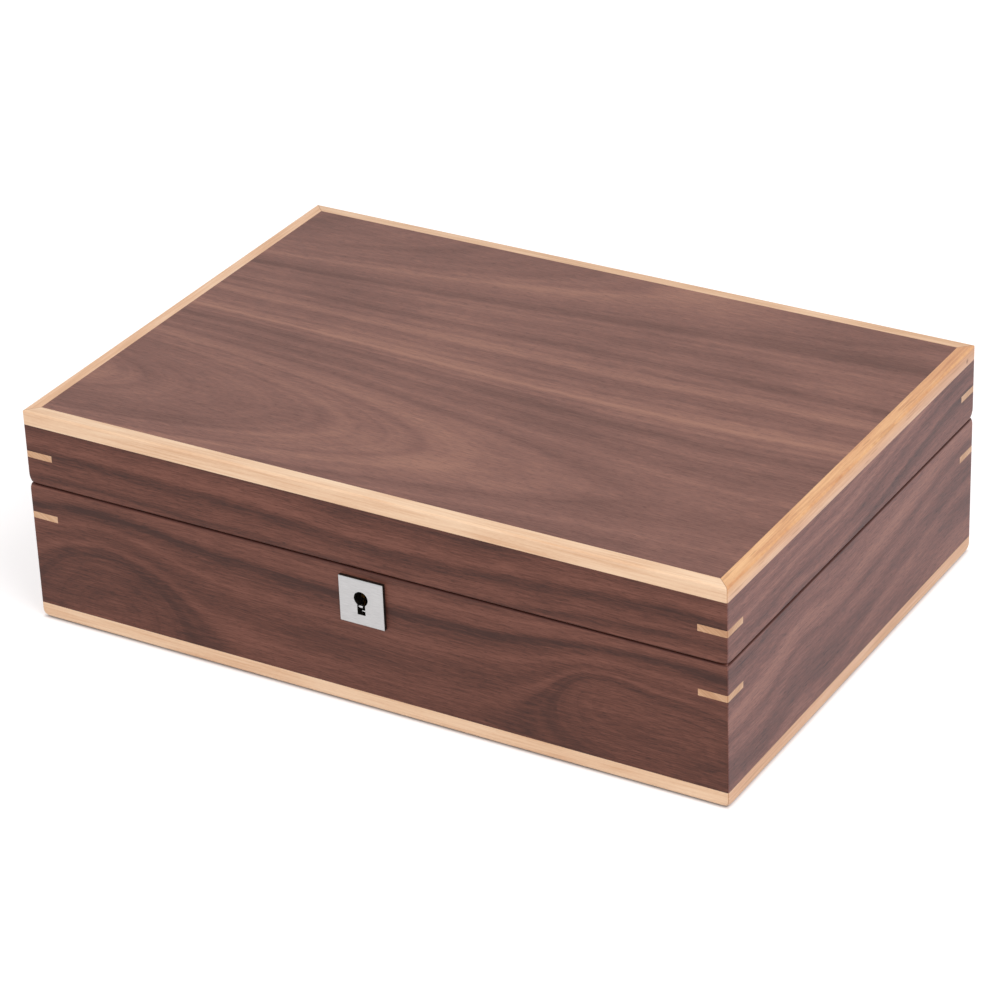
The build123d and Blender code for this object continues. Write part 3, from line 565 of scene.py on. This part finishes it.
# Lining. Thin boards wrapped in fawn suede cloth, glued round the walls and on the floor, and
# dividers of the same, halved over each other, which stand loose between them.
suede = napped("suede_lining_cloth", ("A08D75", "B7A48A", "C9B8A0"), 0.0005, 0.35)
boards = ["base_lining_front", "base_lining_back", "base_lining_ends", "base_lining_floor"]
boards += ["lid_lining_sides", "lid_lining_ends", "long_divider"]
boards += [f"cross_divider_{number}" for number in range(1, 5)]
cloth = 0.0005
for board in boards:
    shape = merged(board)
    corners = [edge for edge in shape.edges if edge.is_convex and edge.calc_face_angle(0) > 0.8]
    bmesh.ops.bevel(shape, geom=corners, offset=cloth, affect="EDGES", segments=3, profile=0.5, material=-1)
    smoothed(suede, board, shape=shape)

# Watch cushions. Ten foam pillows, each sewn of a suede wrap and two end panels, so that it is
# full in the middle and drawn in at the seams. One is blown up by cloth simulation from a
# smaller copy of its CAD solid, and the others are cut to the same pattern.
cushion_suede = napped("suede_cushion_cloth", ("AF9C83", "C6B49A", "D8C9B2"), 0.0005, 0.35)
low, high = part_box("watch_cushion_1")
middle = (low + high) / 2
pillow = merged("watch_cushion_1")
slack_size = (0.95, 0.965, 0.965)
bmesh.ops.scale(pillow, vec=slack_size, verts=pillow.verts, space=Matrix.Translation(-middle))
mesh = bpy.data.meshes.new("pillow")
pillow.to_mesh(mesh)
pillow.free()
skin = bpy.data.objects.new("pillow", mesh)
bpy.context.scene.collection.objects.link(skin)
fine = skin.modifiers.new("even skin", "REMESH")
fine.mode = "VOXEL"
fine.voxel_size = 0.004
skin.data = bpy.data.meshes.new_from_object(skin.evaluated_get(bpy.context.evaluated_depsgraph_get()))
skin.modifiers.clear()
most_swell = 0.0026
slack = [vert.co.copy() for vert in skin.data.vertices]
air = skin.modifiers.new("air", "CLOTH")
air.settings.use_pressure = True
air.settings.uniform_pressure_force = 12
air.settings.effector_weights.gravity = 0
for step in range(1, 21):
    bpy.context.scene.frame_set(step)
skin.data = bpy.data.meshes.new_from_object(skin.evaluated_get(bpy.context.evaluated_depsgraph_get()))
skin.modifiers.clear()
bpy.context.scene.frame_set(1)
for vert, start in zip(skin.data.vertices, slack):
    moved = vert.co - start
    vert.co = start + moved * min(1, most_swell / max(moved.length, 1e-9))
pillow = bmesh.new()
pillow.from_mesh(skin.data)
bpy.data.objects.remove(skin)
bmesh.ops.subdivide_edges(pillow, edges=pillow.edges[:], cuts=1, use_grid_fill=True, smooth=1)
every_way = {"use_axis_x": True, "use_axis_y": True, "use_axis_z": True}
bmesh.ops.smooth_vert(pillow, verts=pillow.verts, factor=0.5, **every_way)
# each seam is three cuts close together, and the middle one is drawn in by its stitches
seam_from_middle = (high.x - low.x) / 2 - 0.004
beside_seam = 0.0012
drawn_in = 0.0007
seam_cord = 0.00055
rings = {}
for side in (-1, 1):
    for step in (-beside_seam, beside_seam, 0):
        whole = pillow.verts[:] + pillow.edges[:] + pillow.faces[:]
        at = middle + Vector((side * seam_from_middle + step, 0, 0))
        cut = bmesh.ops.bisect_plane(pillow, geom=whole, dist=1e-6, plane_co=at, plane_no=(1, 0, 0))
    ring = [vert for vert in cut["geom_cut"] if isinstance(vert, bmesh.types.BMVert)]
    for vert in ring:
        inward = Vector((0, middle.y - vert.co.y, middle.z - vert.co.z)).normalized()
        vert.co += inward * drawn_in
    ring.sort(key=lambda vert: math.atan2(vert.co.z - middle.z, vert.co.y - middle.y))
    rings[side] = [vert.co.copy() for vert in ring]
# it rests flat on the floor lining and keeps within its cell
for vert in pillow.verts:
    for n in range(3):
        vert.co[n] = min(max(vert.co[n], low[n]), high[n])


def cord_round(points, radius):
    """A mesh of a thin sewn cord along a closed line."""
    line = bpy.data.curves.new("cord", "CURVE")
    line.dimensions = "3D"
    line.bevel_depth = radius
    line.bevel_resolution = 2
    spline = line.splines.new("POLY")
    spline.points.add(len(points) - 1)
    for point, co in zip(spline.points, points):
        point.co = (*co, 1)
    spline.use_cyclic_u = True
    drawn = bpy.data.objects.new("cord", line)
    bpy.context.scene.collection.objects.link(drawn)
    cord = bpy.data.meshes.new_from_object(drawn.evaluated_get(bpy.context.evaluated_depsgraph_get()))
    bpy.data.objects.remove(drawn)
    return cord


for side in (-1, 1):
    pillow.from_mesh(cord_round(rings[side], seam_cord))
sewn = bpy.data.meshes.new("pillow")
pillow.to_mesh(sewn)
pillow.free()
for number in range(1, 11):
    node = f"watch_cushion_{number}"
    shape = bmesh.new()
    shape.from_mesh(sewn)
    turn = Matrix.Rotation(math.pi * (number % 2), 3, "Z")
    bmesh.ops.rotate(shape, verts=shape.verts, cent=middle, matrix=turn)
    here = sum(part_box(node), Vector()) / 2
    bmesh.ops.translate(shape, verts=shape.verts, vec=here - middle)
    piece = finished(f"cushion_{number}_sewn", shape, [cushion_suede], [node], crease=80)

# Lid pad. A card with a thin sheet of foam under the same suede, pulled round its edges, with a
# sewn cord round it, glued up inside the lid. It is crowned towards the watches.
low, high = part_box("lid_pad")
pad = bmesh.new()
half = (high - low) / 2
card = 0.0024
crown = 0.0022
pucker = 0.00012
turned_edge = 0.0010
glue_film = 0.00002
bmesh.ops.create_grid(pad, x_segments=90, y_segments=60, size=1)
rim = [edge for edge in pad.edges if edge.is_boundary]
for vert in pad.verts:
    s, t = vert.co.x, vert.co.y
    full = (1 - s**4) * (1 - t**4)
    ripple = pucker * math.sin(23 * s + 3 * t) * math.sin(17 * t - 4 * s) * (1 - full)
    pulled_up = turned_edge * (max(abs(s), abs(t)) ** 40)
    vert.co = (s * half.x, t * half.y, high.z - card - crown * full**0.7 + ripple + pulled_up)
bmesh.ops.reverse_faces(pad, faces=pad.faces)
raised = bmesh.ops.extrude_edge_only(pad, edges=rim)["geom"]
for vert in raised:
    if isinstance(vert, bmesh.types.BMVert):
        vert.co.z = high.z - glue_film
bmesh.ops.contextual_create(pad, geom=[edge for edge in pad.edges if edge.is_boundary])
bmesh.ops.recalc_face_normals(pad, faces=pad.faces)
corner = 0.004
cord = 0.0008
cord_below_lid = 0.0017
edging = []
for turn, (side_x, side_y) in enumerate(((1, 1), (-1, 1), (-1, -1), (1, -1))):
    for step in range(7):
        angle = math.radians(90 * turn + 15 * step)
        x = side_x * (half.x - corner - cord) + corner * math.cos(angle)
        y = side_y * (half.y - corner - cord) + corner * math.sin(angle)
        edging.append(Vector((x, y, high.z - cord_below_lid)))
pad.from_mesh(cord_round(edging, cord))
pad_piece = finished("lid_pad_sewn", pad, [suede], ["lid_pad"], crease=60)

# Hinges. Two nickel-plated stop hinges let into the back wall and the lid, each with a pin and
# six countersunk screws. The heels of their knuckles stop the lid a little past upright.
leaves = [f"{side}_hinge_{level}_leaf" for level in ("base", "lid") for side in ("left", "right")]
smoothed(nickel, *leaves, "hinge_pins", "hinge_screws_base", "hinge_screws_lid")

# Table and light. A white table that fades into a white room. One large softbox stands to the
# right, above the box, and a lower one in front fills the shade.
floor = bmesh.new()
under_felt = Matrix.Translation((0, 0, -0.00002))
bmesh.ops.create_grid(floor, x_segments=1, y_segments=1, size=20, matrix=under_felt)
floor_mesh = bpy.data.meshes.new("table")
floor.to_mesh(floor_mesh)
floor.free()
table = bpy.data.objects.new("table", floor_mesh)
bpy.context.scene.collection.objects.link(table)


def seen_white(tree):
    """1 for what the camera sees of the white stage, itself or in metal, and 0 for its light."""
    path = add(tree, "LightPath").outputs
    inputs = {0: path["Is Camera Ray"], 1: path["Is Glossy Ray"]}
    seen = add(tree, "Math", inputs, operation="MAXIMUM").outputs[0]
    return add(tree, "Math", {0: seen, 1: path["Is Transmission Ray"]}, operation="MAXIMUM").outputs[0]


white, tree = new_finish("white_table_top")
# close to the box the table's white glow is taken away, a painted contact shadow on top of its own
# shadow: the glow grows from 1.8 mm inside the box's outline to 1 mm outside it
glow_starts, glow_full = -0.0018, 0.0010
place = add(tree, "TexCoord").outputs["Object"]
place = add(tree, "VectorMath", {0: place}, operation="ABSOLUTE").outputs[0]
place = add(tree, "VectorMath", {0: place, 1: (half_width, half_depth, 0)}, operation="SUBTRACT").outputs[0]
past = add(tree, "SeparateXYZ", {0: place}).outputs
past = add(tree, "Math", {0: past["X"], 1: past["Y"]}, operation="MAXIMUM").outputs[0]
clear = add(tree, "MapRange", {0: past, 1: glow_starts, 2: glow_full}).outputs[0]
glow = add(tree, "Math", {0: seen_white(tree), 1: clear}, operation="MULTIPLY").outputs[0]
table_glow = 0.51
glow = add(tree, "Math", {0: glow, 1: table_glow}, operation="MULTIPLY").outputs[0]
glow = add(tree, "Emission", {"Color": (1, 1, 1, 1), "Strength": glow})
paper = add(tree, "BsdfDiffuse", {"Color": (0.7, 0.67, 0.67, 1)})
surface = add(tree, "AddShader", {0: paper.outputs[0], 1: glow.outputs[0]})
add(tree, "OutputMaterial", {"Surface": surface.outputs[0]})
floor_mesh.materials.append(white)

room = bpy.data.worlds.new("white_room")
bpy.context.scene.world = room
room.use_nodes = True
tree = room.node_tree
tree.nodes.clear()
room_light = 0.66
strength = add(tree, "MapRange", {0: seen_white(tree), 3: room_light, 4: 1.0}).outputs[0]
sky = add(tree, "Background", {"Color": (1, 1, 1, 1), "Strength": strength})
add(tree, "OutputWorld", {"Surface": sky.outputs[0]})


def softbox(name, place, size, power):
    """A square lamp of that size in metres, turned to the box."""
    lamp = bpy.data.objects.new(name, bpy.data.lights.new(name, "AREA"))
    lamp.data.size = size
    lamp.data.energy = power
    lamp.location = place
    box_middle = Vector((0, 0, 0.05))
    lamp.rotation_euler = (box_middle - Vector(place)).to_track_quat("-Z", "Y").to_euler()
    bpy.context.scene.collection.objects.link(lamp)


softbox("high_softbox", (1.1, -0.4, 1.5), 1.2, 17)
softbox("front_softbox", (-0.3, -1.8, 0.5), 1.2, 9)

bpy.context.scene.view_settings.view_transform = "Standard"
